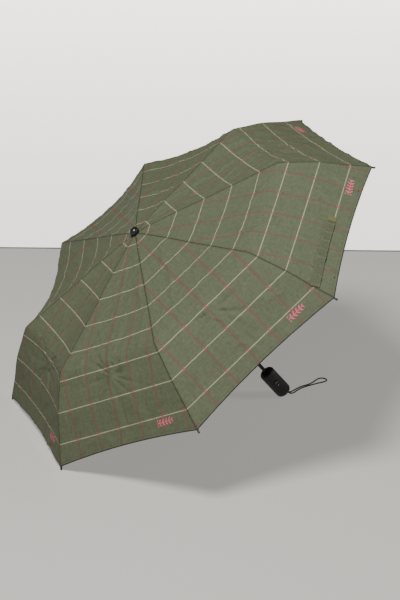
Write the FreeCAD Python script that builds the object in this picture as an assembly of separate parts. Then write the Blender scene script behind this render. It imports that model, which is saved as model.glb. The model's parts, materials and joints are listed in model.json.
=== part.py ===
import FreeCAD, Part
import math, os
from FreeCAD import Vector, Placement, Rotation, Matrix

# Folding umbrella with eight ribs, open and lying on a floor: it rests on two
# rib tips and on the rounded end of its handle. Everything is designed about
# the shaft: r is the distance from the shaft's axis, u the distance down the
# shaft from the crown towards the handle. World Z is up. Millimetres.

# ---- driving dimensions -------------------------------------------------
RIBS = 8
FIRST_RIB_DEG = 22.5                 # azimuth of rib 1 about the shaft
STEP_DEG = 360.0 / RIBS

CROWN_PIVOT = (11.5, 7.0)            # A: main rib on the crown's wire
KNEE_LINE = (336.0, 48.5)            # top line of the straight, opened rib
MAIN_LEN = 168.2                     # A to B
MIDDLE_LEN = 158.0                   # B to E
TIP = (487.0, 181.0)                 # centre of the bead on each rib tip
TIP_R = 2.3
BRACKET_X, BRACKET_DROP = 89.9, 4.0  # C: stretcher pivot, on the main rib
LEVER_LEN = 7.0                      # C to D, the stretcher's driving lever
LEVER_DEG = 8.0                      # its angle to the main rib, opened
FOLLOWER_DEG = 0.0                   # angle of the middle rib's lever B to F
LINK_PLAY = 1.15                     # play of pin F in the control link's eye
OUTER_BOW = 2.5                      # how far the outer rib bows

MAIN_CLOSED_DEG = 86.5               # main rib below horizontal, folded
MIDDLE_CLOSED_DEG = -90.0            # middle rib points back to the crown
OUTER_CLOSED_DEG = 88.0              # outer rib points to the handle

CH_HALF, CH_WALL, CH_TALL, CH_GAP = 2.3, 0.5, 4.0, 0.3   # rib channel section
FORK_IN, FORK_OUT = 2.45, 2.95       # stretcher cheeks, beside the main rib
LINK_IN, LINK_OUT = 3.05, 3.75       # control link, beside the cheeks
TONGUE_HALF = 1.6                    # between two ears
EAR_R, CHEEK_R, RIVET_R = 2.1, 2.4, 0.8
HEAD_R, HEAD_T, RUN = 1.35, 0.4, 0.1  # rivet heads; running clearance of the pivots
EYE_R, EYE_HALF, WIRE_R = 1.9, 1.3, 0.6
E_DROP = 4.6                         # E lies under the middle rib's channel
OUTER_R = 1.5                        # round outer rib

UPPER_R, MIDDLE_R, LOWER_R, TUBE_WALL = 6.0, 5.0, 4.0, 0.8
UPPER_SPAN, MIDDLE_SPAN, LOWER_SPAN = (4.0, 222.0), (204.0, 348.0), (333.0, 540.0)
SHAFT_TRAVEL = 125.0                 # of each of the two telescopic steps

FLANGE_R, SLOT_IN_R, SLOT_HALF = 13.6, 9.3, 1.6
SLEEVE_R, SLEEVE_LEN, RUNNER_BORE_R = 8.4, 30.0, 6.1
CAP_R, CAP_H = 10.5, 13.0

HANDLE_R, HANDLE_TOP, HANDLE_END = 17.5, 477.0, 551.5
GRIP_WALL, TOP_FILLET, END_FILLET = 2.5, 6.0, 9.0
COLLAR_R, PLUG_R = 9.0, 8.5
BUTTON_U, BUTTON_L, BUTTON_W, BUTTON_OUT = 509.0, 17.0, 11.0, 1.6
BUTTON_TRAVEL = 3.0
LEAF_HALF, LEAF_W, LEAF_T = 7.0, 6.0, 0.35     # leaf spring under the button
STRAP_R, STRAP_HOLE_X, STRAP_HOLE_Y = 1.5, 4.6, 4.5

FABRIC = 0.6                         # solid stand-in of the canopy cloth
CANOPY_LINE = [(9.0, 0.4), (338.0, 45.6), (404.0, 95.0), (485.1, 174.8)]
TIE_W, TIE_L, TIE_T = 19.0, 195.0, 1.6
TIE_RIB, TIE_DOWN = 7, 0.555          # rib it is sewn to, place down the lowest panel


# ---- small geometry -----------------------------------------------------
def polar(deg):
    return math.cos(math.radians(deg)), math.sin(math.radians(deg))


def along(start, down_deg, length, side=0.0):
    """Point at a length from start in a direction down_deg below horizontal,
    moved by side towards the fabric."""
    c, s = polar(down_deg)
    return (start[0] + c * length + s * side, start[1] + s * length - c * side)


def rib_frame(start, down_deg):
    """Placement of a link: x along it, y across it, z towards the fabric."""
    c, s = polar(down_deg)
    return Placement(Matrix(c, 0, s, start[0], 0, 1, 0, 0, -s, 0, c, -start[1], 0, 0, 0, 1))


def block(x0, x1, y0, y1, z0, z1):
    return Part.makeBox(x1 - x0, y1 - y0, z1 - z0, Vector(x0, y0, z0))


def disc(x, z, radius, y0, y1):
    return Part.makeCylinder(radius, y1 - y0, Vector(x, y0, z), Vector(0, 1, 0))


def bar(x, z, deg, length, half_height, y0, y1):
    """Flat lever with round ends, leaving (x, z) at deg towards the fabric."""
    c, s = polar(deg)
    body = block(0, length, y0, y1, -half_height, half_height)
    body.Placement = Placement(Vector(x, 0, z), Rotation(Vector(0, 1, 0), -deg))
    ends = [disc(x, z, half_height, y0, y1), disc(x + c * length, z + s * length, half_height, y0, y1)]
    return body.multiFuse(ends)


def both_sides(maker, inner, outer):
    return [maker(inner, outer), maker(-outer, -inner)]


def one(first, *others):
    return first.multiFuse(list(others)).removeSplitter()


def angle_below(start, end):
    return math.degrees(math.atan2(end[1] - start[1], end[0] - start[0]))


# ---- pivots of the linkage, opened --------------------------------------
A = CROWN_PIVOT
OPEN_DEG = angle_below(A, KNEE_LINE)
B = along(A, OPEN_DEG, MAIN_LEN)
C = along(A, OPEN_DEG, BRACKET_X, -BRACKET_DROP)
E = along(B, OPEN_DEG, MIDDLE_LEN, -E_DROP)
STRETCHER_ARM = math.hypot(BRACKET_X, BRACKET_DROP)
C_DEG = angle_below(A, C)
RUNNER_PIVOT = (A[0], A[1] + 2 * STRETCHER_ARM * math.sin(math.radians(C_DEG)))
STRETCHER_DEG = angle_below(RUNNER_PIVOT, C)
OUTER_DEG = angle_below(E, TIP)
OUTER_LEN = math.dist(E, TIP)
D = along(C, OPEN_DEG - LEVER_DEG, LEVER_LEN)

# Turns from open to folded; positive lowers the outer end.
MAIN_TURN = MAIN_CLOSED_DEG - OPEN_DEG
STRETCHER_TURN = -2 * MAIN_TURN
MIDDLE_TURN = MIDDLE_CLOSED_DEG - OPEN_DEG - MAIN_TURN
OUTER_TURN = OUTER_CLOSED_DEG - OUTER_DEG - MAIN_TURN - MIDDLE_TURN


def follower_length():
    """Length of lever BF for which link DF is as long folded as opened,
    worked out in the main rib's own axes."""
    b, c = (MAIN_LEN, 0.0), (BRACKET_X, -BRACKET_DROP)
    ends = []
    opened = (LEVER_DEG, FOLLOWER_DEG)
    folded = (LEVER_DEG - STRETCHER_TURN, FOLLOWER_DEG - MIDDLE_TURN)
    for d_deg, f_deg in (opened, folded):
        dc, ds = polar(d_deg)
        fc, fs = polar(f_deg)
        gap = (b[0] - c[0] - dc * LEVER_LEN, b[1] - c[1] - ds * LEVER_LEN)
        ends.append((gap, (fc, fs)))
    (g0, f0), (g1, f1) = ends
    along_gap = (f0[0] * g0[0] + f0[1] * g0[1]) - (f1[0] * g1[0] + f1[1] * g1[1])
    return ((g1[0] ** 2 + g1[1] ** 2) - (g0[0] ** 2 + g0[1] ** 2)) / (2 * along_gap)


FOLLOWER_LEN = follower_length()
F = along(B, OPEN_DEG - FOLLOWER_DEG, FOLLOWER_LEN)
LINK_LEN = math.dist(D, F)
LINK_DEG = angle_below(D, F)


def folded_link_deg():
    """Angle of link DF below the main rib when folded."""
    dc, ds = polar(LEVER_DEG - STRETCHER_TURN)
    fc, fs = polar(FOLLOWER_DEG - MIDDLE_TURN)
    d = (BRACKET_X + dc * LEVER_LEN, -BRACKET_DROP + ds * LEVER_LEN)
    f = (MAIN_LEN + fc * FOLLOWER_LEN, fs * FOLLOWER_LEN)
    return -math.degrees(math.atan2(f[1] - d[1], f[0] - d[0]))


LINK_TURN = folded_link_deg() - (LINK_DEG - OPEN_DEG) - STRETCHER_TURN


# ---- ribs ---------------------------------------------------------------
def channel(x0, x1, web_x1):
    """Folded-sheet channel under the fabric, open on its lower side."""
    top, low = -CH_GAP, -CH_GAP - CH_TALL
    parts = [block(x0, web_x1, -CH_HALF, CH_HALF, top - CH_WALL - 0.1, top)]
    parts += both_sides(lambda y0, y1: block(x0, x1, y0, y1, low, top), CH_HALF - CH_WALL, CH_HALF)
    return parts


def rivet(x, z, y0, y1, head_y0, head_y1):
    return one(disc(x, z, RIVET_R, y0, y1), disc(x, z, HEAD_R, head_y0, head_y1))


def wire_eye():
    """Tail of a link, with the eye that turns on a ring of wire."""
    tail = block(0, 9, -EYE_HALF, EYE_HALF, -EYE_R, 0.4)
    return [disc(0, 0, EYE_R, -EYE_HALF, EYE_HALF), tail]


def eye_hole():
    return disc(0, 0, WIRE_R + 0.15, -EYE_HALF - 1, EYE_HALF + 1)


def main_rib():
    top, low = -CH_GAP, -CH_GAP - CH_TALL
    inner = CH_HALF - CH_WALL
    solid_end = block(7, 11, -CH_HALF, CH_HALF, low, top)
    ears = both_sides(lambda y0, y1: disc(MAIN_LEN, 0, EAR_R, y0, y1), inner, CH_HALF)
    bracket = both_sides(lambda y0, y1: disc(BRACKET_X, -BRACKET_DROP, CHEEK_R, y0, y1), inner, CH_HALF)
    body = one(*wire_eye(), solid_end, *channel(10, MAIN_LEN, MAIN_LEN - 2.8), *ears, *bracket)
    pins = [disc(MAIN_LEN, 0, RIVET_R, -4, 4), disc(BRACKET_X, -BRACKET_DROP, RIVET_R, -4, 4)]
    body = body.cut(eye_hole()).cut(pins[0]).cut(pins[1])
    rivet_b = rivet(MAIN_LEN, 0, -CH_HALF, FORK_OUT, -CH_HALF - HEAD_T, -CH_HALF)
    far = -FORK_OUT - 0.05
    rivet_c = rivet(BRACKET_X, -BRACKET_DROP, far, FORK_OUT, far - HEAD_T, far)
    return [body, rivet_b, rivet_c], rib_frame(A, OPEN_DEG)


def middle_rib():
    top, low = -CH_GAP, -CH_GAP - CH_TALL
    inner = CH_HALF - CH_WALL
    tongue = [disc(0, 0, EAR_R, -TONGUE_HALF, TONGUE_HALF),
              block(0, 4, -TONGUE_HALF, TONGUE_HALF, -EAR_R, top)]
    root = [block(3, 9, -CH_HALF, CH_HALF, low, top), block(3, 9, CH_HALF, FORK_OUT, low, top)]
    lever = bar(0, 0, FOLLOWER_DEG, FOLLOWER_LEN, 1.5, FORK_IN, FORK_OUT)
    fc, fs = polar(FOLLOWER_DEG)
    f_pin = disc(fc * FOLLOWER_LEN, fs * FOLLOWER_LEN, WIRE_R, FORK_IN, LINK_OUT + 0.1)
    ears = both_sides(lambda y0, y1: disc(MIDDLE_LEN, -E_DROP, EAR_R, y0, y1), inner, CH_HALF)
    body = one(*tongue, *root, *channel(8, MIDDLE_LEN, MIDDLE_LEN), lever, f_pin, *ears)
    body = body.cut(disc(0, 0, RIVET_R + RUN, -4, 4)).cut(disc(MIDDLE_LEN, -E_DROP, RIVET_R, -4, 4))
    shank = disc(MIDDLE_LEN, -E_DROP, RIVET_R, -CH_HALF - HEAD_T, CH_HALF + HEAD_T)
    heads = both_sides(lambda y0, y1: disc(MIDDLE_LEN, -E_DROP, HEAD_R, y0, y1), CH_HALF, CH_HALF + HEAD_T)
    return [body, one(shank, *heads)], rib_frame(B, OPEN_DEG)


def outer_rib():
    """Round rib with a slight bow, and the plastic bead on its tip."""
    tongue = [disc(0, 0, EAR_R, -TONGUE_HALF, TONGUE_HALF),
              block(0, 4, -TONGUE_HALF, TONGUE_HALF, -0.3, EAR_R)]
    root = block(2.6, 12, -OUTER_R, OUTER_R, CH_GAP, CH_GAP + 2 * OUTER_R)
    z0 = CH_GAP + OUTER_R
    start, end = Vector(9, 0, z0), Vector(OUTER_LEN, 0, 0)
    middle = Vector(0.5 * OUTER_LEN, 0, 0.5 * z0 + OUTER_BOW)
    arc = Part.Arc(start, middle, end)
    path = Part.Wire([arc.toShape()])
    ring = Part.Wire([Part.Circle(start, arc.tangent(arc.FirstParameter)[0], OUTER_R).toShape()])
    rod = path.makePipeShell([ring], True, True)
    body = one(*tongue, root, rod).cut(disc(0, 0, RIVET_R + RUN, -4, 4))
    back = arc.tangent(arc.LastParameter)[0].multiply(-1)
    cap = one(Part.makeSphere(TIP_R, end), Part.makeCylinder(TIP_R - 0.2, 10, end, back))
    return [body.cut(cap), cap], rib_frame(E, OUTER_DEG)


def stretcher():
    web_z = 3.0
    length = STRETCHER_ARM
    solid_end = block(7, 11, -FORK_OUT, FORK_OUT, -1.0, web_z)
    web = block(10, length - 14, -FORK_OUT, FORK_OUT, web_z - 0.6, web_z)
    walls = both_sides(lambda y0, y1: block(10, length, y0, y1, -1.0, 1.4), FORK_IN, FORK_OUT)
    flanges = both_sides(lambda y0, y1: block(10, length - 14, y0, y1, 1.0, web_z), FORK_IN, FORK_OUT)
    cheeks = both_sides(lambda y0, y1: disc(length, 0, CHEEK_R, y0, y1), FORK_IN, FORK_OUT)
    lever_deg = STRETCHER_DEG - (OPEN_DEG - LEVER_DEG)
    lever = bar(length, 0, lever_deg, LEVER_LEN, 1.5, FORK_IN, FORK_OUT)
    dc, ds = polar(lever_deg)
    d_pin = disc(length + dc * LEVER_LEN, ds * LEVER_LEN, WIRE_R, FORK_IN, LINK_OUT + 0.1)
    body = one(*wire_eye(), solid_end, web, *walls, *flanges, *cheeks, lever, d_pin)
    body = body.cut(eye_hole()).cut(disc(length, 0, RIVET_R + RUN, -4, 4))
    return [body], rib_frame(RUNNER_PIVOT, STRETCHER_DEG)


def control_link():
    """Flat link DF. Its eye at F is wide, because a folding rib's two levers
    don't keep quite the same distance on the way."""
    play_r = WIRE_R + LINK_PLAY
    wide_eye = disc(LINK_LEN, 0, play_r + 0.9, LINK_IN, LINK_OUT)
    body = one(bar(0, 0, 0, LINK_LEN, 1.3, LINK_IN, LINK_OUT), wide_eye)
    body = body.cut(disc(0, 0, WIRE_R + RUN, 0, 5)).cut(disc(LINK_LEN, 0, play_r, 0, 5))
    return [body], rib_frame(D, LINK_DEG)


def around(solids, placement, number):
    """Place one rib's solids at its azimuth about the shaft."""
    azimuth = FIRST_RIB_DEG + STEP_DEG * (number - 1)
    turn = Placement(Vector(0, 0, 0), Rotation(Vector(0, 0, 1), azimuth))
    placed = []
    for solid in solids:
        copy = solid.copy()
        copy.Placement = turn.multiply(placement)
        placed.append(copy)
    return placed


# ---- crown, runner and shaft --------------------------------------------
def tube(radius, bore, u0, u1):
    outer = Part.makeCylinder(radius, u1 - u0, Vector(0, 0, -u1))
    return outer.cut(Part.makeCylinder(bore, u1 - u0, Vector(0, 0, -u1)))


def slotted_flange(u0, u1, bore):
    """Ring with a slot for every rib, around a ring of wire."""
    flange = tube(FLANGE_R, bore, u0, u1)
    for i in range(RIBS):
        slot = block(SLOT_IN_R, FLANGE_R + 2, -SLOT_HALF, SLOT_HALF, -u1 - 1, -u0 + 1)
        slot.rotate(Vector(0, 0, 0), Vector(0, 0, 1), FIRST_RIB_DEG + STEP_DEG * i)
        flange = flange.cut(slot)
    return flange


def wire_ring(u):
    return Part.makeTorus(A[0], WIRE_R, Vector(0, 0, -u))


def crown():
    u = A[1]
    flange = slotted_flange(u - 3, u + 3, UPPER_R)
    hub = tube(SLOT_IN_R, UPPER_R, u - 5, u + 6)
    lid = Part.makeCylinder(SLOT_IN_R, 2, Vector(0, 0, -u + 3))
    post = Part.makeCylinder(2.5, 10, Vector(0, 0, -u + 5))
    return one(flange, hub, lid, post).cut(wire_ring(u))


def top_cap():
    """Low dome screwed on the crown's post, over the middle of the cloth."""
    edge, top = -0.4, -0.4 - CAP_H
    shoulder = 5.0
    outline = Part.Wire([
        Part.LineSegment(Vector(0, 0, -edge), Vector(CAP_R, 0, -edge)).toShape(),
        Part.LineSegment(Vector(CAP_R, 0, -edge), Vector(CAP_R, 0, -edge + shoulder)).toShape(),
        Part.Arc(Vector(CAP_R, 0, -edge + shoulder), Vector(0.72 * CAP_R, 0, -top - 2.4),
                 Vector(1.5, 0, -top)).toShape(),
        Part.LineSegment(Vector(1.5, 0, -top), Vector(0, 0, -top)).toShape(),
        Part.LineSegment(Vector(0, 0, -top), Vector(0, 0, -edge)).toShape()])
    dome = Part.Face(outline).revolve(Vector(0, 0, 0), Vector(0, 0, 1), 360)
    return dome.cut(Part.makeCylinder(2.5, 9, Vector(0, 0, -edge - 1)))


def runner():
    u = RUNNER_PIVOT[1]
    flange = slotted_flange(u - 3, u + 3, RUNNER_BORE_R)
    sleeve = tube(SLEEVE_R, RUNNER_BORE_R, u - 3, u + SLEEVE_LEN)
    rim = tube(SLEEVE_R + 1.0, RUNNER_BORE_R, u + SLEEVE_LEN - 4, u + SLEEVE_LEN)
    return one(flange, sleeve, rim).cut(wire_ring(u))


# ---- handle -------------------------------------------------------------
def grip_profile(shrink):
    """Half section of the handle's outside, moved in by shrink."""
    r, top, end = HANDLE_R - shrink, HANDLE_TOP + shrink, HANDLE_END - shrink
    rt, re = TOP_FILLET - shrink, END_FILLET - shrink
    k = math.sqrt(0.5)
    p = [Vector(0, 0, -top), Vector(r - rt, 0, -top), Vector(r, 0, -top - rt),
         Vector(r, 0, -end + re), Vector(r - re, 0, -end), Vector(0, 0, -end)]
    arc_top = Part.Arc(p[1], Vector(r - rt + k * rt, 0, -top - rt + k * rt), p[2])
    arc_end = Part.Arc(p[3], Vector(r - re + k * re, 0, -end + re - k * re), p[4])
    edges = [Part.LineSegment(p[0], p[1]), arc_top, Part.LineSegment(p[2], p[3]), arc_end,
             Part.LineSegment(p[4], p[5]), Part.LineSegment(p[5], p[0])]
    outline = Part.Face(Part.Wire([e.toShape() for e in edges]))
    return outline.revolve(Vector(0, 0, 0), Vector(0, 0, 1), 360)


def button_prism(grow, y0, y1):
    """Rounded oblong along the handle, on its -Y side, from y0 to y1."""
    half_w, half_l = BUTTON_W / 2 + grow, BUTTON_L / 2 + grow
    slab = block(-half_w, half_w, y0, y1, -BUTTON_U - half_l + half_w, -BUTTON_U + half_l - half_w)
    caps = [disc(0, -BUTTON_U + s * (half_l - half_w), half_w, y0, y1) for s in (-1, 1)]
    return slab.multiFuse(caps).removeSplitter()


BUTTON_FLOOR = HANDLE_R - GRIP_WALL - 6.0       # depth of the pocket in the core


def handle_grip():
    shell = grip_profile(0).cut(grip_profile(GRIP_WALL))
    shell = shell.cut(Part.makeCylinder(COLLAR_R, 20, Vector(0, 0, -HANDLE_TOP - 10)))
    shell = shell.cut(Part.makeCylinder(PLUG_R, 20, Vector(0, 0, -HANDLE_END - 10)))
    return shell.cut(button_prism(0.3, -HANDLE_R - 5, -5))


def handle_core():
    inside = grip_profile(GRIP_WALL)
    keep = Part.makeCylinder(HANDLE_R, 59, Vector(0, 0, -HANDLE_TOP - 63))
    core = inside.common(keep).cut(Part.makeCylinder(LOWER_R, 100, Vector(0, 0, -HANDLE_TOP - 80)))
    return core.cut(button_prism(1.3, -HANDLE_R - 5, -BUTTON_FLOOR))


def handle_collar():
    """Bushing round the shaft where it enters the handle."""
    neck = tube(COLLAR_R, LOWER_R, HANDLE_TOP, HANDLE_TOP + 4)
    ring = tube(COLLAR_R - 2.0, LOWER_R, HANDLE_TOP - 2.5, HANDLE_TOP)
    return one(neck, ring)


def handle_end_plug():
    """Plug that closes the handle's end; the wrist cord leaves through it."""
    plug = Part.makeCylinder(PLUG_R, HANDLE_END - HANDLE_TOP - 66, Vector(0, 0, -HANDLE_END))
    for side in (-1, 1):
        at = Vector(STRAP_HOLE_X, side * STRAP_HOLE_Y, -HANDLE_END - 1)
        hole = Part.makeCylinder(STRAP_R + 0.1, 20, at)
        plug = plug.cut(hole)
    return plug


def button():
    """Push button: cap proud of the grip, flange that holds it in the pocket."""
    face = -HANDLE_R - BUTTON_OUT
    cap = button_prism(0, face, -HANDLE_R + GRIP_WALL)
    cap = cap.makeFillet(1.0, [e for e in cap.Edges if e.BoundBox.YMax < face + 0.01])
    inside = math.sqrt((HANDLE_R - GRIP_WALL) ** 2 - (BUTTON_W / 2 + 0.9) ** 2)
    flange = button_prism(0.9, 0.2 - inside, -BUTTON_FLOOR - BUTTON_TRAVEL - 0.6)
    neck = button_prism(-0.2, face + 2, 0.4 - inside)
    return one(cap, neck, flange)


def button_spring():
    """Leaf spring: an arch along the handle, from the pocket's floor to the button."""
    foot, crest = -BUTTON_FLOOR - 0.05, -BUTTON_FLOOR - BUTTON_TRAVEL - 0.55
    x = -LEAF_W / 2

    def arc(half, y_foot, y_crest):
        ends = [Vector(x, y_foot, -BUTTON_U + side * half) for side in (-1, 1)]
        return Part.Arc(ends[0], Vector(x, y_crest, -BUTTON_U), ends[1]).toShape()

    outer, inner = arc(LEAF_HALF, foot, crest), arc(LEAF_HALF - LEAF_T, foot, crest + LEAF_T)
    feet = [Part.LineSegment(outer.Vertexes[k].Point, inner.Vertexes[k].Point).toShape() for k in (0, 1)]
    face = Part.Face(Part.Wire(Part.__sortEdges__([outer, feet[1], inner, feet[0]])))
    return face.extrude(Vector(LEAF_W, 0, 0))


# ---- canopy and its tie strap -------------------------------------------
def rib_point(line_point, number):
    c, s = polar(FIRST_RIB_DEG + STEP_DEG * number)
    return Vector(line_point[0] * c, line_point[0] * s, -line_point[1])


def panel(corners):
    """Flat four-sided panel, FABRIC thick along the shaft."""
    face = Part.Face(Part.makePolygon(corners + corners[:1]))
    return face.extrude(Vector(0, 0, -FABRIC))


def canopy():
    panels = []
    for i in range(RIBS):
        for upper, lower in zip(CANOPY_LINE, CANOPY_LINE[1:]):
            panels.append(panel([rib_point(upper, i), rib_point(lower, i),
                                 rib_point(lower, i + 1), rib_point(upper, i + 1)]))
    return panels


def tie_strap():
    """Closing band, sewn to the seam of rib 7 by the hem, lying on the panel."""
    rib, upper, lower = TIE_RIB - 1, CANOPY_LINE[-2], CANOPY_LINE[-1]

    def on_panel(down, across):
        corner = [rib_point(p, n) for n in (rib, rib + 1) for p in (upper, lower)]
        edges = [corner[2 * k] + (corner[2 * k + 1] - corner[2 * k]) * down for k in (0, 1)]
        return edges[0] + (edges[1] - edges[0]) * across

    start, end = on_panel(TIE_DOWN, 0.02), on_panel(TIE_DOWN, 0.6)
    x = (end - start).normalize()
    normal = x.cross(on_panel(1, 0) - on_panel(0, 0)).normalize()
    if normal.z < 0:
        normal = normal * -1
    y = normal.cross(x)
    band = block(0, TIE_L, -TIE_W / 2, TIE_W / 2, 0.3, 0.3 + TIE_T)
    band.Placement = Placement(Matrix(x.x, y.x, normal.x, start.x, x.y, y.y, normal.y, start.y,
                                      x.z, y.z, normal.z, start.z, 0, 0, 0, 1))
    return band


# ---- wrist cord ---------------------------------------------------------
# Route of the wrist cord, in the row's frame: out of one hole of the end plug,
# down to the floor, round in a loop and back into the other hole.
STRAP_ROUTE = [
    (238.574, 4.5, 14.354), (246.285, 4.5, 5.16), (257.0, 8.5, 1.5), (270.0, 17.0, 1.5), (284.0, 25.0, 1.5),
    (298.5, 30.5, 1.5), (313.0, 33.5, 1.5), (326.0, 40.5, 1.5), (338.5, 51.0, 1.5), (350.0, 57.0, 1.5),
    (358.8, 53.9, 1.5), (362.4, 45.4, 1.5), (358.8, 36.9, 1.5), (350.0, 33.8, 1.5), (338.5, 33.0, 1.5),
    (326.0, 30.2, 1.5), (313.0, 27.6, 1.5), (299.5, 24.3, 1.5), (286.0, 19.0, 1.5), (272.5, 11.0, 1.5),
    (260.0, 1.0, 1.5), (246.285, -4.5, 5.16), (238.574, -4.5, 14.354)]


def cord_tube(points, radius):
    """Round cord along straight runs joined by tangent arcs."""
    runs = [points[i + 1] - points[i] for i in range(len(points) - 1)]
    edges, at = [], points[0]
    for i in range(1, len(points) - 1):
        before, after = Vector(runs[i - 1]).normalize(), Vector(runs[i]).normalize()
        cut = 0.45 * min(runs[i - 1].Length, runs[i].Length)
        turn = before.getAngle(after)
        inward = (after - before).normalize()
        arc_radius = cut / math.tan(turn / 2)
        apex = points[i] + inward * (arc_radius / math.cos(turn / 2) - arc_radius)
        first, last = points[i] - before * cut, points[i] + after * cut
        edges += [Part.LineSegment(at, first).toShape(), Part.Arc(first, apex, last).toShape()]
        at = last
        print("cord point %d: turn %.0f deg, radius %.1f mm" % (i, math.degrees(turn), arc_radius))
    edges.append(Part.LineSegment(at, points[-1]).toShape())
    ring = Part.Wire([Part.Circle(points[0], runs[0], radius).toShape()])
    path = Part.Wire(edges)
    tube_solid = path.makePipeShell([ring], True, True)
    print("cord length %.1f mm" % path.Length)
    return tube_solid


# ---- resting place ------------------------------------------------------
def resting_tilt():
    """Tilt of the shaft from vertical at which the two lowest tips and the
    handle's rounded end touch one floor: the line that touches two circles."""
    tip = (TIP[0] * math.cos(math.radians(STEP_DEG / 2)), TIP[1])
    end = (HANDLE_R - END_FILLET, HANDLE_END - END_FILLET)
    chord = math.dist(tip, end)
    chord_angle = math.atan2(end[1] - tip[1], end[0] - tip[0])
    return 90 - math.degrees(chord_angle - math.acos((TIP_R - END_FILLET) / chord))


TILT_DEG = resting_tilt()
LEAN = Placement(Vector(0, 0, 0), Rotation(Vector(0, 1, 0), -TILT_DEG))


def in_world(solids):
    placed = []
    for solid in solids:
        copy = solid.copy()
        copy.Placement = LEAN.multiply(copy.Placement)
        placed.append(copy)
    return placed


def build():
    nodes = {
        "canopy": canopy(), "top_cap": [top_cap()], "crown": [crown()], "crown_wire": [wire_ring(A[1])],
        "upper_tube": [tube(UPPER_R, UPPER_R - TUBE_WALL, *UPPER_SPAN)],
        "middle_tube": [tube(MIDDLE_R, MIDDLE_R - TUBE_WALL, *MIDDLE_SPAN)],
        "lower_tube": [tube(LOWER_R, LOWER_R - TUBE_WALL, *LOWER_SPAN)],
        "runner": [runner()], "runner_wire": [wire_ring(RUNNER_PIVOT[1])],
        "handle_grip": [handle_grip()], "handle_core": [handle_core()], "handle_collar": [handle_collar()],
        "handle_end_plug": [handle_end_plug()], "button": [button()], "button_spring": [button_spring()],
        "tie_strap": [tie_strap()]}
    makers = {"main_rib": main_rib, "middle_rib": middle_rib, "outer_rib": outer_rib,
              "stretcher": stretcher, "control_link": control_link}
    for name, maker in makers.items():
        solids, placement = maker()
        for number in range(1, RIBS + 1):
            nodes["%s_%d" % (name, number)] = around(solids, placement, number)
    return {name: in_world(solids) for name, solids in nodes.items()}


def corners(nodes):
    boxes = [solid.optimalBoundingBox(False) for solids in nodes.values() for solid in solids]
    low = [min(getattr(b, side) for b in boxes) for side in ("XMin", "YMin", "ZMin")]
    high = [max(getattr(b, side) for b in boxes) for side in ("XMax", "YMax", "ZMax")]
    return low, high


NODES = build()
LOW, HIGH = corners(NODES)
ORIGIN = Vector((LOW[0] + HIGH[0]) / 2, (LOW[1] + HIGH[1]) / 2, LOW[2])
TO_ROW = Placement(ORIGIN * -1, Rotation()).multiply(LEAN)

PARTS = {name: [solid.translated(ORIGIN * -1) for solid in solids] for name, solids in NODES.items()}
PARTS["wrist_strap"] = [cord_tube([Vector(*point) for point in STRAP_ROUTE], STRAP_R)]

os.makedirs("parts", exist_ok=True)
for name, moved in PARTS.items():
    shape = moved[0] if len(moved) == 1 else Part.makeCompound(moved)
    shape.exportStep("parts/%s.step" % name)
print("row size", [round(h - l, 2) for l, h in zip(LOW, HIGH)], "tilt", round(TILT_DEG, 3))
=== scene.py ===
import json
import math

import bmesh
import bpy
import numpy as np
from mathutils import Matrix, Vector, noise


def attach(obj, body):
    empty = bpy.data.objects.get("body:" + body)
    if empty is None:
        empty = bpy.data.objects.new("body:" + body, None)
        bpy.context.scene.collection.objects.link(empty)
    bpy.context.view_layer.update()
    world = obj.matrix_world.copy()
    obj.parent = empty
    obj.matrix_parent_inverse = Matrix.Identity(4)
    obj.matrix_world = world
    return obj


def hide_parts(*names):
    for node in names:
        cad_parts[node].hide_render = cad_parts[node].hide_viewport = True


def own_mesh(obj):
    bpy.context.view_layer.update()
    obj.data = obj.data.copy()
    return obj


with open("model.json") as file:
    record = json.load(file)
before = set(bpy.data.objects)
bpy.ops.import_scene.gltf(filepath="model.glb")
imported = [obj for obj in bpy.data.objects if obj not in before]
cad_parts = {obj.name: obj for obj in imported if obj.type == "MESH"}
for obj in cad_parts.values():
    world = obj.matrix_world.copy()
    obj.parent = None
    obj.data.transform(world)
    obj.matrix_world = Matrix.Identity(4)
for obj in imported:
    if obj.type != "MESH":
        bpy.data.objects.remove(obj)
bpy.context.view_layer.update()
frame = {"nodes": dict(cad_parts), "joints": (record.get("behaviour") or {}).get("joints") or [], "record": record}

# Looks of an eight-rib folding umbrella, open and lying on a floor. As in the CAD part,
# shapes are designed about the shaft: r is the distance from its axis, u the distance down
# it from the crown, and a rib's azimuth turns about it. Metres and degrees.

# ---- driving dimensions -------------------------------------------------
RIBS = 8
STEP_DEG = 360 / RIBS
FIRST_RIB_DEG = 22.5
PIVOT_U = 0.007                       # the crown's ring of wire, down from the cloth's middle

# The cloth over a rib: flat out of the crown, round the knee, and down the outer rib.
RIB_LINE = [(.006, .0005), (.050, .0050), (.110, .0128), (.178, .0238), (.258, .0352), (.318, .0430),
            (.337, .0462), (.348, .0533), (.364, .0660), (.404, .0970), (.449, .1420), (.4850, .1752)]
ROWS = {"inner": 42, "middle": 42, "outer": 50}
COLUMNS = 76                          # across one gore, from rib to rib
SAG = [(0, 0), (.10, .006), (.22, .014), (.34, .019), (.42, .015), (.53, .004)]
SLACK = (.6, .9, 1.2, 1.0, .25, .15, .35, .6)    # share of it in each gore, from gore 1 on
STAR_V = 0.345                        # where creases meet, along the middle of a gore
HEM_HOLLOW = 0.009                    # how far the hem curves in between two tips
HEM_R, HEM_FOLD = 0.0007, 0.008       # rolled edge, and the cloth folded under it
TIP_CAP_R = 0.4795                    # the ribs' black caps lie outside this distance
SECTION_BODY = {"inner": "main", "middle": "middle", "outer": "outer"}

PLAID_V, PLAID_V0 = 0.0601, 0.0279    # cream lines, along the middle of a gore
PLAID_U, PLAID_U0 = 0.0577, -0.007    # red lines, across it
THREAD, STITCH = 0.0007, 0.0030       # pitch of the weave and of the stitches

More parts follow.
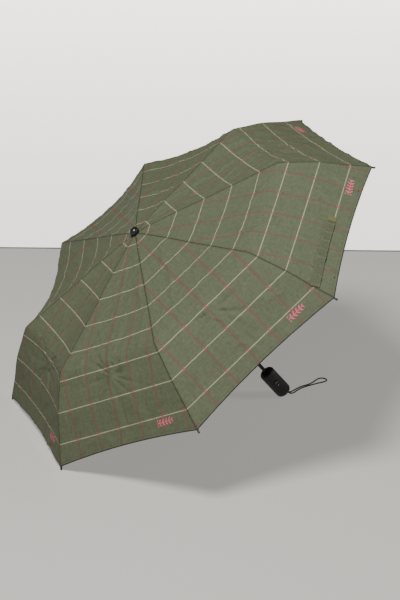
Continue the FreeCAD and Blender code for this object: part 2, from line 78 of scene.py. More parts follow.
TIE_W, TIE_L, TIE_T = 0.019, 0.195, 0.0012
TIE_RIB, TIE_S = 7, 0.487             # sewn to this rib's seam, so far down it
TIE_KEEP, TIE_RINGS = 0.08, 61
MARK_U, MARK_L, MARK_R = (0.505, 0.513), 0.0032, 0.0006     # two bars on the button's face
BUTTON_Y = -0.0191

CORD_R = 0.0015
CORD_ROUTE = [
    (.238574, .0045, .014354), (.246285, .0045, .00516), (.2570, .0085, .0015), (.2700, .0170, .0015),
    (.2840, .0250, .0015), (.2985, .0305, .0015), (.3130, .0335, .0015), (.3260, .0405, .0015),
    (.3385, .0510, .0015), (.3500, .0570, .0015), (.3588, .0539, .0015), (.3624, .0454, .0015),
    (.3588, .0369, .0015), (.3500, .0338, .0015), (.3385, .0330, .0015), (.3260, .0302, .0015),
    (.3130, .0276, .0015), (.2995, .0243, .0015), (.2860, .0190, .0015), (.2725, .0110, .0015),
    (.2600, .0010, .0015), (.246285, -.0045, .00516), (.238574, -.0045, .014354)]

CAMERA_AT = (-1.3154, -3.4869, 1.7293)
CAMERA_YAW, CAMERA_PITCH, CAMERA_ROLL = 68.885, -21.48, 0.489
CAMERA_LENS, SENSOR = 111.12, 36.0
FLOOR_REACH = 14                      # half the floor's size
BACKDROP_AT, JOINT_W = 1.043, 0.009   # joint of floor and backdrop, along the camera's heading
BACKDROP_GLOW_FULL_AT = 4.2                # from here on the backdrop's painted glow is at its brightest
LAMPS = (                             # name, place, aim, size, watts, colour
    ("key", (-1.20, -1.22, 3.15), (0, 0, .3), 0.9, 180, (1, .985, .96)),
    ("front", (-1.0, -3.7, 1.5), (0, 0, .3), 2.0, 15, (1, .99, .97)),
    ("right", (2.4, -1.3, 1.9), (.1, 0, .1), 0.9, 26, (.98, .985, 1)))

# ---- places, from the frame ---------------------------------------------
JOINTS = {joint["name"]: joint for joint in frame["joints"]}
DOWN = np.array(JOINTS["shaft_slide"]["axis"])
SIDE = np.array((0.0, 1.0, 0.0))
ACROSS = np.cross(SIDE, -DOWN)


def main_pivot(number):
    name = "fold" if number == 1 else f"main_hinge_{number}"
    return np.array(JOINTS[name]["pos_m"])


APEX = np.mean([main_pivot(i + 1) for i in range(RIBS)], axis=0) - PIVOT_U * DOWN


def azimuth(number):
    return math.radians(FIRST_RIB_DEG + STEP_DEG * (number - 1))


def about_shaft(point):
    """(r, u) of a point in the row frame."""
    offset = np.array(point) - APEX
    u = offset @ DOWN
    return np.linalg.norm(offset - u * DOWN), u


def place(r, u, angle):
    """Points in the row frame at distances r and u and an azimuth in radians."""
    r, u = np.asarray(r, float), np.asarray(u, float)
    radial = math.cos(angle) * ACROSS + math.sin(angle) * SIDE
    return APEX + np.multiply.outer(r, radial) + np.multiply.outer(u, DOWN)


# ---- small tools --------------------------------------------------------
def smooth_line(points, per_run=24):
    """Curve through the points, with its direction continuous."""
    p = np.array(points, float)
    runs = np.linalg.norm(np.diff(p, axis=0), axis=1)
    at = np.concatenate([[0], np.cumsum(runs)])
    slopes = np.gradient(p, at, axis=0)
    fine = []
    for i, run in enumerate(runs):
        x = np.linspace(0, 1, per_run, endpoint=False)[:, None]
        fine.append((2 * x ** 3 - 3 * x ** 2 + 1) * p[i] + (x ** 3 - 2 * x ** 2 + x) * run * slopes[i]
                    + (3 * x ** 2 - 2 * x ** 3) * p[i + 1] + (x ** 3 - x ** 2) * run * slopes[i + 1])
    return np.vstack(fine + [p[-1:]])


def lengths(line):
    return np.concatenate([[0], np.cumsum(np.linalg.norm(np.diff(line, axis=0), axis=1))])


def unit(v):
    return v / np.linalg.norm(v, axis=-1, keepdims=True)


def new_object(name, mesh):
    piece = bpy.data.objects.new(name, mesh)
    bpy.context.scene.collection.objects.link(piece)
    return piece


def grid_mesh(name, points, normals, uvs):
    """Sheet of quads over a grid of points, with its own smooth normals."""
    rows, columns = points.shape[:2]
    index = np.arange(rows * columns).reshape(rows, columns)
    quads = np.stack([index[:-1, :-1], index[1:, :-1], index[1:, 1:], index[:-1, 1:]], axis=-1).reshape(-1, 4)
    mesh = bpy.data.meshes.new(name)
    mesh.from_pydata(points.reshape(-1, 3).tolist(), [], quads.tolist())
    mesh.polygons.foreach_set("use_smooth", [True] * len(quads))
    for uv_name, uv in uvs.items():
        layer = mesh.uv_layers.new(name=uv_name)
        layer.data.foreach_set("uv", uv.reshape(-1, 2)[quads.ravel()].ravel())
    mesh.normals_split_custom_set_from_vertices(normals.reshape(-1, 3).tolist())
    return mesh


# ---- material kit -------------------------------------------------------
class Paint:
    """A material being built: short calls that add a node and link it."""

    def __init__(self, name):
        self.name = name
        self.material = bpy.data.materials.new(name)
        self.material.use_nodes = True
        self.tree = self.material.node_tree
        self.shader = self.tree.nodes["Principled BSDF"]

    def feed(self, socket, value):
        if isinstance(value, bpy.types.NodeSocket):
            self.tree.links.new(value, socket)
        else:
            socket.default_value = value

    def math(self, operation, *values):
        node = self.tree.nodes.new("ShaderNodeMath")
        node.operation = operation
        for socket, value in zip(node.inputs, values):
            self.feed(socket, value)
        return node.outputs[0]

    def times(self, a, b):
        return self.math("MULTIPLY", a, b)

    def plus(self, a, b):
        return self.math("ADD", a, b)

    def minus(self, a, b):
        return self.math("SUBTRACT", a, b)

    def vector(self, operation, a, b):
        node = self.tree.nodes.new("ShaderNodeVectorMath")
        node.operation = operation
        self.feed(node.inputs[0], a)
        self.feed(node.inputs[1], b)
        return node.outputs["Vector"]

    def length(self, a):
        node = self.tree.nodes.new("ShaderNodeVectorMath")
        node.operation = "LENGTH"
        self.feed(node.inputs[0], a)
        return node.outputs["Value"]

    def uv(self, name):
        node = self.tree.nodes.new("ShaderNodeUVMap")
        node.uv_map = name
        split = self.tree.nodes.new("ShaderNodeSeparateXYZ")
        self.feed(split.inputs[0], node.outputs[0])
        return node.outputs[0], split.outputs[0], split.outputs[1]

    def position(self):
        return self.tree.nodes.new("ShaderNodeTexCoord").outputs["Object"]

    def noise(self, where, scale, detail=3.0, rough=0.55, stretch=None):
        if stretch:
            mapping = self.tree.nodes.new("ShaderNodeMapping")
            mapping.inputs["Scale"].default_value = stretch
            self.feed(mapping.inputs["Vector"], where)
            where = mapping.outputs[0]
        node = self.tree.nodes.new("ShaderNodeTexNoise")
        self.feed(node.inputs["Vector"], where)
        self.feed(node.inputs["Scale"], scale)
        self.feed(node.inputs["Detail"], detail)
        self.feed(node.inputs["Roughness"], rough)
        return node.outputs[0]

    def ramp(self, value, low, high, to_low=0.0, to_high=1.0, smooth=True):
        node = self.tree.nodes.new("ShaderNodeMapRange")
        node.interpolation_type = "SMOOTHSTEP" if smooth else "LINEAR"
        for socket, v in zip(node.inputs, (value, low, high, to_low, to_high)):
            self.feed(socket, v)
        return node.outputs[0]

    def mix(self, share, a, b):
        node = self.tree.nodes.new("ShaderNodeMix")
        node.data_type = "RGBA"
        self.feed(node.inputs["Factor"], share)
        self.feed(node.inputs["A"], a if isinstance(a, bpy.types.NodeSocket) else (*a, 1))
        self.feed(node.inputs["B"], b if isinstance(b, bpy.types.NodeSocket) else (*b, 1))
        return node.outputs["Result"]

    def lines(self, value, period, start, half, soft):
        """1 on lines of a width, one every period, and 0 between them."""
        turned = self.math("DIVIDE", self.minus(value, start), period)
        near = self.minus(self.math("FRACT", self.plus(turned, 0.5)), 0.5)
        away = self.times(self.math("ABSOLUTE", near), period)
        return self.ramp(away, half, half + soft, 1.0, 0.0)

    def stitches(self, gap, inset, along, soft):
        """1 on the stitches of a row at one distance from an edge, and 0 elsewhere."""
        return self.times(self.lines(gap, 1.0, inset, .0002, soft),
                          self.lines(along, STITCH, 0, .0009, soft))

    def bump(self, height, strength, distance):
        node = self.tree.nodes.new("ShaderNodeBump")
        node.inputs["Strength"].default_value = strength
        node.inputs["Distance"].default_value = distance
        self.feed(node.inputs["Height"], height)
        self.feed(self.shader.inputs["Normal"], node.outputs[0])

    def set(self, **values):
        for name, value in values.items():
            self.feed(self.shader.inputs[name.replace("_", " ")], value)


# ---- materials ----------------------------------------------------------
OLIVE_DARK, OLIVE_LIGHT = (.066, .078, .045), (.098, .113, .070)
CREAM, RED, CROSSING, PINK = (.40, .36, .27), (.125, .056, .048), (.24, .09, .075), (.72, .09, .20)
# The near-black seam colour is dark binding, and also painted shade in the seam grooves and under the hem's fold.
RUSTY, SEAM_BINDING_AND_SHADE, SEWING = (.078, .066, .040), (.012, .014, .009), (.030, .034, .020)
MOTIF_U, MOTIF_HEM = 0.112, 0.028     # middle of the sprig, from the gore's middle and the hem
LEAF_STEP, LEAF_OUT = 0.0080, 0.0042  # from leaf to leaf, and from the stem to a leaf's middle


def cloth_paint():
    """Woven olive cloth with a windowpane check, seams, stitched hem and a small motif."""
    p = Paint("canopy_cloth")
    flat, u, v = p.uv("cloth")
    _, rib_gap, hem_gap = p.uv("edges")
    mottle = p.noise(flat, 150, 5, 0.75)
    slub_u = p.noise(flat, 28, 4, 0.7, (1, 22, 1))
    slub_v = p.noise(flat, 28, 4, 0.7, (22, 1, 1))
    slubs = p.plus(p.times(slub_u, 0.5), p.times(slub_v, 0.5))
    tone = p.plus(p.times(mottle, 0.5), p.times(slubs, 0.5))
    color = p.mix(p.ramp(tone, 0.38, 0.62), OLIVE_DARK, OLIVE_LIGHT)
    rusty = p.ramp(p.noise(flat, 75, 3, 0.7), 0.52, 0.70, 0.0, 0.20)
    color = p.mix(rusty, color, RUSTY)
    frayed = p.noise(flat, 420, 2, 0.6)
    cream = p.lines(v, PLAID_V, PLAID_V0, .0004, .0009)
    cream = p.times(cream, p.ramp(frayed, 0.30, 0.62, 0.45, 0.80))
    red = p.lines(u, PLAID_U, PLAID_U0, .0014, .0016)
    dashes = p.lines(v, .0120, 0, .0032, .0016)
    red_share = p.times(red, p.ramp(dashes, 0, 1, 0.50, 0.85))
    red_share = p.times(red_share, p.ramp(frayed, 0.30, 0.60, 0.6, 1.0))
    color = p.mix(cream, color, CREAM)
    color = p.mix(red_share, color, RED)
    crossing = p.times(red, p.lines(v, PLAID_V, PLAID_V0, .0030, .0020))
    color = p.mix(p.times(crossing, 0.55), color, CROSSING)
    color = p.mix(motif(p, u, hem_gap), color, PINK)
    # Dark bands along each rib seam and along the hem: dark binding, and painted shade where the seam sinks and
    # the hem folds under.
    seam = p.ramp(rib_gap, .0006, .0018, 0.75, 0.0)
    edge = p.ramp(hem_gap, .0009, .0020, 0.85, 0.0)
    color = p.mix(p.math("MAXIMUM", seam, edge), color, SEAM_BINDING_AND_SHADE)
    stitches = p.math("MAXIMUM", p.stitches(hem_gap, .0068, u, .0002), p.stitches(rib_gap, .0030, v, .0002))
    color = p.mix(p.times(stitches, 0.7), color, SEWING)
    threads_u = p.math("SINE", p.times(u, 2 * math.pi / THREAD))
    threads_v = p.math("SINE", p.times(v, 2 * math.pi / THREAD))
    weave = p.times(p.times(threads_u, threads_v), 0.20)
    p.bump(p.plus(p.plus(weave, mottle), p.times(stitches, -1.5)), 0.30, .0006)
    p.set(Base_Color=color, Roughness=p.ramp(mottle, 0.3, 0.7, 0.66, 0.82), Specular_IOR_Level=0.12)
    return p


def motif(p, u, hem_gap):
    """Mask of a plain leafy sprig by each gore's hem: a stem with leaves on both sides."""
    x = p.minus(u, MOTIF_U)
    wave = p.times(p.math("SINE", p.times(x, 75)), .0016)
    y = p.math("ABSOLUTE", p.minus(p.minus(hem_gap, MOTIF_HEM), wave))
    stem = p.ramp(y, .0005, .0010, 1.0, 0.0)
    step = p.minus(p.math("FRACT", p.math("DIVIDE", x, LEAF_STEP)), 0.5)
    leaf_x = p.times(step, LEAF_STEP)
    leaf_y = p.minus(y, LEAF_OUT)
    long_way = p.plus(p.times(leaf_x, .55), p.times(leaf_y, .84))
    short_way = p.minus(p.times(leaf_x, .84), p.times(leaf_y, .55))
    long_way = p.math("DIVIDE", long_way, .0040)
    short_way = p.math("DIVIDE", short_way, .0014)
    leaf = p.plus(p.times(long_way, long_way), p.times(short_way, short_way))
    drawn = p.math("MAXIMUM", stem, p.ramp(leaf, 0.7, 1.2, 1.0, 0.0))
    return p.times(drawn, p.ramp(p.math("ABSOLUTE", x), .0195, .0200, 0.8, 0.0))


def tie_paint():
    """Cloth of the closing band: darker than the canopy, with a mustard lining at its turned end."""
    p = Paint("tie_cloth")
    flat, u, _ = p.uv("cloth")
    _, edge_gap, end_gap = p.uv("edges")
    mottle = p.noise(flat, 380, 4, 0.6)
    color = p.mix(p.ramp(mottle, 0.35, 0.65), (.036, .044, .023), (.078, .088, .050))
    bands = p.lines(u, .0240, .0060, .0006, .0010)
    color = p.mix(p.times(bands, 0.30), color, (.16, .15, .09))
    stitch = p.stitches(edge_gap, .0018, u, .0003)
    color = p.mix(p.times(stitch, 0.6), color, (.13, .13, .08))
    turned = p.ramp(end_gap, .0120, .0124, 1.0, 0.0)
    color = p.mix(turned, color, p.mix(mottle, (.075, .074, .026), (.125, .118, .045)))
    # Near-black line where the band's end is turned over: a hem line, and painted shade of the fold.
    hem_line_and_fold_shade = p.lines(end_gap, 1.0, .0130, .0005, .0004)
    color = p.mix(p.times(hem_line_and_fold_shade, 0.8), color, (.010, .012, .007))
    p.bump(p.minus(mottle, stitch), 0.35, .0006)
    p.set(Base_Color=color, Roughness=0.78, Sheen_Weight=0.1, Specular_IOR_Level=0.3)
    return p


def moulded_paint(name, base, wear, rough, grain_scale, grain, **more):
    """Moulded plastic or rubber: slightly uneven colour and gloss over a fine grain."""
    p = Paint(name)
    where = p.position()
    broad = p.noise(where, 55, 4, 0.6)
    fine = p.noise(where, grain_scale, 3, 0.6)
    p.bump(fine, grain, .0004)
    p.set(Base_Color=p.mix(p.ramp(broad, 0.35, 0.75), base, wear),
          Roughness=p.ramp(broad, 0.3, 0.7, rough - 0.07, rough + 0.07), **more)
    return p


def metal_paint(name, base, tint, rough):
    """Rolled metal: fine marks of the rolls, and a few duller patches."""
    p = Paint(name)
    where = p.position()
    marks = p.noise(where, 900, 2, 0.5)
    patches = p.noise(where, 35, 4, 0.65)
    p.bump(marks, 0.12, .0002)
    p.set(Base_Color=p.mix(p.ramp(patches, 0.35, 0.7), base, tint), Metallic=1.0,
          Roughness=p.ramp(p.plus(marks, patches), 0.7, 1.3, rough - 0.08, rough + 0.12))
    return p


def rib_paint():
    """Zinc-plated ribs, with black plastic over the tips that stick out of the hem."""
    p = metal_paint("rib_steel", (.42, .42, .43), (.30, .30, .31), 0.38)
    offset = p.vector("SUBTRACT", p.position(), tuple(APEX))
    from_axis = p.length(p.vector("CROSS_PRODUCT", offset, tuple(DOWN)))
    tip = p.ramp(from_axis, TIP_CAP_R - .0002, TIP_CAP_R + .0002)
    shader = p.shader.inputs
    p.set(Base_Color=p.mix(tip, shader["Base Color"].links[0].from_socket, (.010, .010, .010)),
          Roughness=p.math("MAXIMUM", shader["Roughness"].links[0].from_socket, p.times(tip, 0.4)),
          Metallic=p.minus(1.0, tip))
    return p


def braid_paint():
    """Black braided cord, with its strands as colour and relief."""
    p = Paint("cord")
    strands = p.noise(p.position(), 1400, 2, 0.5)
    p.bump(strands, 0.6, .0006)
    p.set(Base_Color=p.mix(p.ramp(strands, 0.4, 0.65), (.006, .006, .006), (.030, .029, .028)),
          Roughness=0.72, Sheen_Weight=0.15)
    return p


PAINTS = (
    cloth_paint(), tie_paint(), rib_paint(), braid_paint(),
    metal_paint("dark_steel", (.045, .045, .048), (.030, .030, .032), 0.30),
    metal_paint("spring_wire", (.55, .55, .56), (.42, .42, .43), 0.25),
    moulded_paint("black_plastic", (.012, .012, .012), (.022, .022, .022), 0.42, 900, 0.15),
    moulded_paint("grip_rubber", (.008, .007, .0065), (.017, .015, .014), 0.55, 1500, 0.30),
    moulded_paint("gloss_plastic", (.010, .010, .010), (.016, .016, .016), 0.28, 600, 0.03))
MATERIALS = {paint.name: paint.material for paint in PAINTS}


def paint_nodes():
    """Gives every CAD node the material of its slot."""
    slots = {part["node"]: part["material_slot"] for part in frame["record"]["subparts"]}
    for name, node in frame["nodes"].items():
        node.data.materials.clear()
        node.data.materials.append(MATERIALS[slots[name]])


# ---- cloth of the canopy ------------------------------------------------
LINE = smooth_line(RIB_LINE)
LINE_S = lengths(LINE)


def section_rows():
    """Distances along the rib of every row, and the rows where sections meet."""
    hinges = [about_shaft(JOINTS[name]["pos_m"])[0] for name in ("middle_hinge_1", "outer_hinge_1")]
    borders = [0, *np.interp(hinges, LINE[:, 0], LINE_S), LINE_S[-1]]
    rows = [np.linspace(borders[i], borders[i + 1], n + 1)[:-1] for i, n in enumerate(ROWS.values())]
    ends = np.cumsum([0, *ROWS.values()])
    return np.concatenate(rows + [[LINE_S[-1]]]), ends


ROW_S, ROW_ENDS = section_rows()


def crumple(u, v, seed):
    """Soft creases of cloth that was kept folded, in metres, at flat places u, v."""
    fold = 1 - abs(noise.noise(Vector((u * 15, v * 7, seed)))) * 2
    shear = 1 - abs(noise.noise(Vector(((u + v) * 17, (u - v) * 8, seed + 31)))) * 2
    streaks = noise.noise(Vector((u * 100 + v * 14, v * 10, seed + 53)))
    fine = noise.noise(Vector((u * 60, v * 60, seed + 77)))
    sharp_fold, sharp_shear = max(fold, 0) ** 8, max(shear, 0) ** 9
    creases = .0016 * sharp_fold + .0016 * sharp_shear - .0045 * star(u, v - STAR_V, seed)
    return creases + .0008 * streaks + .0005 * fine


def star(x, y, seed):
    """Valleys running out from a point where the folded packet's corner was pressed."""
    away = math.hypot(x, y) + 1e-6
    ray = 1 - abs(noise.noise(Vector((2.4 * x / away, 2.4 * y / away, seed + 5)))) * 2.4
    return max(ray, 0) ** 4 * math.exp(-(away / .060) ** 2) * min(away / .015, 1)


def gore_surface(number):
    """Grid of the cloth from rib number to the next: points, normals and flat places."""
    t = np.linspace(0, 1, COLUMNS + 1)
    t = 0.75 * t + 0.25 * (1 - np.cos(math.pi * t)) / 2
    bell = 4 * t * (1 - t)
    near_hem = np.clip((ROW_S - ROW_S[ROW_ENDS[2]]) / (ROW_S[-1] - ROW_S[ROW_ENDS[2]]), 0, 1) ** 1.2
    s = ROW_S[:, None] - HEM_HOLLOW * np.outer(near_hem, bell)
    r, u = np.interp(s, LINE_S, LINE[:, 0]), np.interp(s, LINE_S, LINE[:, 1])
    one_side, other_side = place(r, u, azimuth(number)), place(r, u, azimuth(number + 1))
    points = one_side + t[None, :, None] * (other_side - one_side)
    width = np.linalg.norm(other_side - one_side, axis=-1)
    flat_u, flat_v = (t - 0.5) * width, s * math.cos(math.radians(STEP_DEG / 2))
    outward = grid_normals(points)
    sag = SLACK[number - 1] * np.interp(s, *np.array(SAG).T) * bell
    wrinkle = np.array([[crumple(a, b, 9.7 * number) for a, b in zip(*row)] for row in zip(flat_u, flat_v)])
    wrinkle *= np.clip(bell * 3, 0, 1) * np.clip(s / .06, 0, 1)
    wrinkle += fold_lines(flat_u, s, bell) + puckers(t * width, flat_v, number)
    wrinkle += puckers((1 - t) * width, flat_v, number + 0.5)
    points = points + (wrinkle - sag)[..., None] * outward
    rib_gap = np.minimum(t, 1 - t) * width
    hem_gap = s[-1] - s
    return points, grid_normals(points), np.stack([flat_u, flat_v], -1), np.stack([rib_gap, hem_gap], -1)


def puckers(gap, flat_v, seed):
    """Small gathers that the seam pulls into the cloth beside it."""
    wave = [[noise.noise(Vector((v * 95, g * 26, 40 + seed * 3))) for g, v in zip(*row)]
            for row in zip(gap, flat_v)]
    return .0011 * np.array(wave) * np.exp(-gap / .012) * np.clip(gap / .004, 0, 1)


def fold_lines(flat_u, s, bell):
    """Creases left by storing it: down each gore's middle and across at the hinges."""
    middle = .0009 * np.exp(-(flat_u / .005) ** 2) * np.clip((s - .05) / .10, 0, 1)
    across = sum(depth * np.exp(-((s - at) / .007) ** 2)
                 for at, depth in zip(ROW_S[ROW_ENDS[1:3]], (.0009, -.0012)))
    return middle + across * np.clip(bell * 1.6, 0, 1)


def grid_normals(points):
    down, side = np.gradient(points, axis=0), np.gradient(points, axis=1)
    return unit(np.cross(down, side))


def rolled_hem(points, normals, flat, edges):
    """Adds the rolled edge and the fold behind it after the last row."""
    last, up = points[-1], normals[-1]
    out = unit(np.cross(np.gradient(last, axis=0), up))
    new = [(last + out * HEM_R * math.sin(a) - up * HEM_R * (1 - math.cos(a)),
            up * math.cos(a) + out * math.sin(a)) for a in np.radians(range(30, 181, 30))]
    new += [(last - up * 2 * HEM_R - out * back, -up) for back in (HEM_FOLD / 2, HEM_FOLD)]
    new_points, new_normals = (np.stack(x) for x in zip(*new))
    rows = len(new)
    more_flat = np.repeat(flat[-1:], rows, axis=0)
    more_edges = np.repeat(edges[-1:], rows, axis=0)
    return (np.concatenate([points, new_points]), np.concatenate([normals, new_normals]),
            np.concatenate([flat, more_flat]), np.concatenate([edges, more_edges]))


def make_cloth_piece(side, rib, section, points, normals, flat, edges):
    """One sixth of a gore: from a rib to the gore's middle, over one section of the rib."""
    name = f"cloth_{section}_{rib}_{side}"
    mesh = grid_mesh(name, points, normals, {"cloth": flat, "edges": edges})
    mesh.materials.append(MATERIALS["canopy_cloth"])
    piece = new_object(name, mesh)
    at_rib, at_middle = points[:, 0], points[:, -1]
    if side == "left":
        at_rib, at_middle = at_middle, at_rib
    rib_way = unit(at_rib[-1] - at_rib[0])
    across = at_middle.mean(0) - at_rib.mean(0)
    across -= (across @ rib_way) * rib_way
    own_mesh(piece)
    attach(piece, SECTION_BODY[section] + f"_{rib}")
    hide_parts("canopy")


def make_canopy():
    """Every gore, cut where the rib's sections meet and along its middle."""
    middle = COLUMNS // 2
    for number in range(1, RIBS + 1):
        surface = gore_surface(number)
        for k, section in enumerate(ROWS):
            rows = slice(ROW_ENDS[k], ROW_ENDS[k + 1] + 1)
            part = [layer[rows] for layer in surface]
            if section == "outer":
                part = rolled_hem(*part)
            neighbour = number % RIBS + 1
            halves = [("right", number, slice(0, middle + 1)), ("left", neighbour, slice(middle, None))]
            for side, rib, columns in halves:
                make_cloth_piece(side, rib, section, *[layer[:, columns] for layer in part])


# ---- tie strap ----------------------------------------------------------
def strap_rings():
    """Cross sections of the closing band, along the gore beside its rib, and their places."""
    points, normals = gore_surface(TIE_RIB)[:2]
    row = int(np.argmin(abs(ROW_S - TIE_S)))
    line, up = points[row, :COLUMNS * 3 // 4], normals[row, :COLUMNS * 3 // 4]
    at, keep = lengths(line), np.linspace(0, TIE_L, TIE_RINGS)
    path = np.stack([np.interp(keep, at, line[:, axis]) for axis in range(3)], -1)
    up = unit(np.stack([np.interp(keep, at, up[:, axis]) for axis in range(3)], -1))
    side = unit(np.cross(up, np.gradient(path, axis=0)))
    lift = .0012 + .0014 * np.sin(keep / TIE_L * math.pi) + .0005 * np.sin(keep * 90)
    y, z = strap_section().T
    rings = (path[:, None] + side[:, None] * y[:, None] * TIE_W / 2
             + up[:, None] * (z[:, None] * TIE_T / 2 + lift[:, None, None]))
    return rings, keep


def strap_section():
    """Flat oval: y from -1 to 1 across the strap, z from -1 to 1 through it."""
    flat_y, edge_y, edge_z = np.linspace(-.94, .94, 13), np.array([.99, 1.0, .99]), np.array([.6, 0, -.6])
    half = np.stack([np.concatenate([flat_y, edge_y]), np.concatenate([np.ones(13), edge_z])], -1)
    return np.concatenate([half, -half])


def strap_mesh():
    """Closed skin over the rings, with flat places and distances to its edges as UVs."""
    rings, keep = strap_rings()
    across = strap_section()[:, 0] * TIE_W / 2
    count, around = rings.shape[:2]
    index = np.arange(count * around).reshape(count, around)
    after = np.roll(index, -1, axis=1)
    sides = np.stack([index[:-1], after[:-1], after[1:], index[1:]], -1).reshape(-1, 4)
    faces = sides.tolist() + [index[0, ::-1].tolist(), index[-1].tolist()]
    mesh = bpy.data.meshes.new("tie_band")
    mesh.from_pydata(rings.reshape(-1, 3).tolist(), [], faces)
    flat = [(s, y) for s in keep for y in across]
    edges = [(TIE_W / 2 - abs(y), TIE_L - s) for s in keep for y in across]
    for name, values in (("cloth", flat), ("edges", edges)):
        layer = mesh.uv_layers.new(name=name)
        for loop in mesh.loops:
            layer.data[loop.index].uv = values[loop.vertex_index]
    mesh.polygons.foreach_set("use_smooth", [True] * len(faces))
    mesh.materials.append(MATERIALS["tie_cloth"])
    return mesh


def add_tie_strap():
    """The closing band, which moves with the outer rib that it is sewn to."""
    mesh = strap_mesh()
    band = new_object("tie_band", mesh)
    points = np.array([v.co for v in mesh.vertices])
    hem, knee = (place(*LINE[at], azimuth(TIE_RIB)) for at in (-1, len(LINE) * 7 // 10))
    rib_way = unit(hem - knee)
    across = points[-1] - points[0]
    across -= (across @ rib_way) * rib_way
    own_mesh(band)
    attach(band, f"outer_{TIE_RIB}")
    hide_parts("tie_strap")


# ---- wrist cord ---------------------------------------------------------
def add_wrist_cord():
    """Loop of cord from one hole of the end plug to the other, lying on the floor."""
    curve = bpy.data.curves.new("wrist_cord", "CURVE")
    curve.dimensions = "3D"
    curve.bevel_depth = CORD_R
    curve.bevel_resolution = 4
    curve.resolution_u = 12
    spline = curve.splines.new("NURBS")
    spline.points.add(len(CORD_ROUTE) - 1)
    for point, at in zip(spline.points, CORD_ROUTE):
        point.co = (*at, 1)
    spline.order_u = 3
    spline.use_endpoint_u = True
    curve.use_fill_caps = True
    curve.materials.append(MATERIALS["cord"])
    cord = new_object("wrist_cord", curve)
    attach(cord, "handle")
    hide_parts("wrist_strap")


# ---- button marks -------------------------------------------------------
def add_button_marks():
    """Two plain raised bars on the button's face."""
    turn = Matrix((Vector(-ACROSS), Vector(SIDE), Vector(-DOWN))).transposed().to_4x4()
    for number, u in enumerate(MARK_U, 1):
        mesh = bpy.data.meshes.new(f"button_mark_{number}")
        bar = bmesh.new()
        bmesh.ops.create_uvsphere(bar, u_segments=24, v_segments=14, radius=1.0)
        at = Vector(APEX + u * DOWN + BUTTON_Y * SIDE)
        size = Matrix.Diagonal((MARK_L / 2, MARK_R / 2, MARK_R * 1.6, 1))
        bmesh.ops.transform(bar, matrix=Matrix.Translation(at) @ turn @ size, verts=bar.verts)
        bar.to_mesh(mesh)
        bar.free()
        mesh.polygons.foreach_set("use_smooth", [True] * len(mesh.polygons))
        mesh.materials.append(MATERIALS["spring_wire"])
        mark = new_object(mesh.name, mesh)
        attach(mark, "button_body")


# ---- stage --------------------------------------------------------------
def add_camera():
    """Camera from its place, heading, pitch, and roll about its line of sight."""
    yaw, pitch, roll = (math.radians(a) for a in (CAMERA_YAW, CAMERA_PITCH, CAMERA_ROLL))
    look = Vector((math.cos(pitch) * math.cos(yaw), math.cos(pitch) * math.sin(yaw), math.sin(pitch)))
    right = Vector((math.sin(yaw), -math.cos(yaw), 0))
    up = right.cross(look)
    turned_right = math.cos(roll) * right + math.sin(roll) * up
    turned_up = math.cos(roll) * up - math.sin(roll) * right
    camera = bpy.data.objects.new("camera", bpy.data.cameras.new("camera"))
    turn = Matrix((turned_right, turned_up, -look)).transposed().to_4x4()
    camera.matrix_world = Matrix.Translation(CAMERA_AT) @ turn
    camera.data.lens, camera.data.sensor_width = CAMERA_LENS, SENSOR
    camera.data.clip_end = 60
    bpy.context.scene.collection.objects.link(camera)
    bpy.context.scene.camera = camera


def plain_paint(name, color, rough):
    p = Paint(name)
    p.set(Base_Color=(*color, 1), Roughness=rough)
    return p


def heading():
    """Level directions away from the camera, and to its right."""
    yaw = math.radians(CAMERA_YAW)
    return Vector((math.cos(yaw), math.sin(yaw), 0)), Vector((math.sin(yaw), -math.cos(yaw), 0))


def floor_paint():
    """Grey floor that shines a little, so that shadows on it stay pale."""
    p = plain_paint("floor", (.312, .302, .285), 0.7)
    p.set(Emission_Color=(1, .965, .90, 1), Emission_Strength=0.30)
    return p


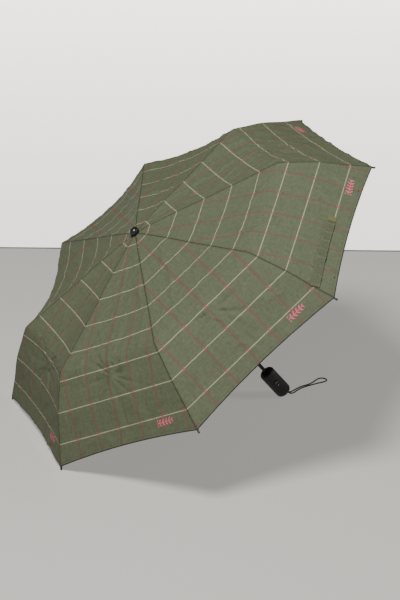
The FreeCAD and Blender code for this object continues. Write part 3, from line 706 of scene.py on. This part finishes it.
def backdrop_paint():
    """Pale ground that glows brighter with the distance, where the lamps don't reach it: painted light, as of a
    lit wall.
    """
    p = plain_paint("backdrop", (.72, .70, .68), 0.9)
    place_at = p.tree.nodes.new("ShaderNodeSeparateXYZ")
    p.feed(place_at.inputs[0], p.position())
    far = heading()[0]
    distance = p.plus(p.times(place_at.outputs[0], far.x), p.times(place_at.outputs[1], far.y))
    # Emission that rises with the distance from the camera: painted light, as of a lit wall behind the object.
    painted_wall_glow = p.ramp(distance, BACKDROP_AT, BACKDROP_GLOW_FULL_AT, 1.35, 3.20, False)
    p.set(Emission_Color=(1, .965, .93, 1), Emission_Strength=painted_wall_glow)
    return p


def add_floor():
    """Grey floor, and behind the object a thin dark joint and a pale backdrop level with it, which glows with
    painted light.
    """
    far, side = heading()
    borders = (-FLOOR_REACH, BACKDROP_AT, BACKDROP_AT + JOINT_W, FLOOR_REACH)
    widths = (-FLOOR_REACH, FLOOR_REACH)
    paints = (floor_paint(), plain_paint("joint", (.05, .045, .04), 0.8), backdrop_paint())
    for near, beyond, paint in zip(borders, borders[1:], paints):
        mesh = bpy.data.meshes.new(paint.name)
        corners = [far * distance + side * width for distance in (near, beyond) for width in widths]
        mesh.from_pydata(corners, [], [(0, 1, 3, 2)])
        mesh.materials.append(paint.material)
        new_object(paint.name, mesh)


def area_light(name, at, aim, size, power, color):
    """Soft round lamp that isn't seen itself."""
    light = bpy.data.lights.new(name, "AREA")
    light.shape = "DISK"
    light.size, light.energy, light.color = size, power, color
    lamp = bpy.data.objects.new(name, light)
    lamp.location = at
    lamp.rotation_euler = (Vector(aim) - Vector(at)).to_track_quat("-Z", "Y").to_euler()
    lamp.visible_camera = False
    bpy.context.scene.collection.objects.link(lamp)


def add_world():
    """Pale surroundings as the camera sees them, which give almost no light."""
    world = bpy.data.worlds.new("studio")
    world.use_nodes = True
    nodes, links = world.node_tree.nodes, world.node_tree.links
    light, seen = nodes["Background"], nodes.new("ShaderNodeBackground")
    mix = nodes.new("ShaderNodeMixShader")
    light.inputs["Color"].default_value = (.93, .93, .92, 1)
    light.inputs["Strength"].default_value = 0.02
    seen.inputs["Color"].default_value = (.80, .775, .75, 1)
    links.new(nodes.new("ShaderNodeLightPath").outputs["Is Camera Ray"], mix.inputs[0])
    links.new(light.outputs[0], mix.inputs[1])
    links.new(seen.outputs[0], mix.inputs[2])
    links.new(mix.outputs[0], nodes["World Output"].inputs[0])
    bpy.context.scene.world = world


add_camera()
add_wrist_cord()
paint_nodes()
make_canopy()
add_tie_strap()
add_button_marks()
add_floor()
for lamp_values in LAMPS:
    area_light(*lamp_values)
add_world()
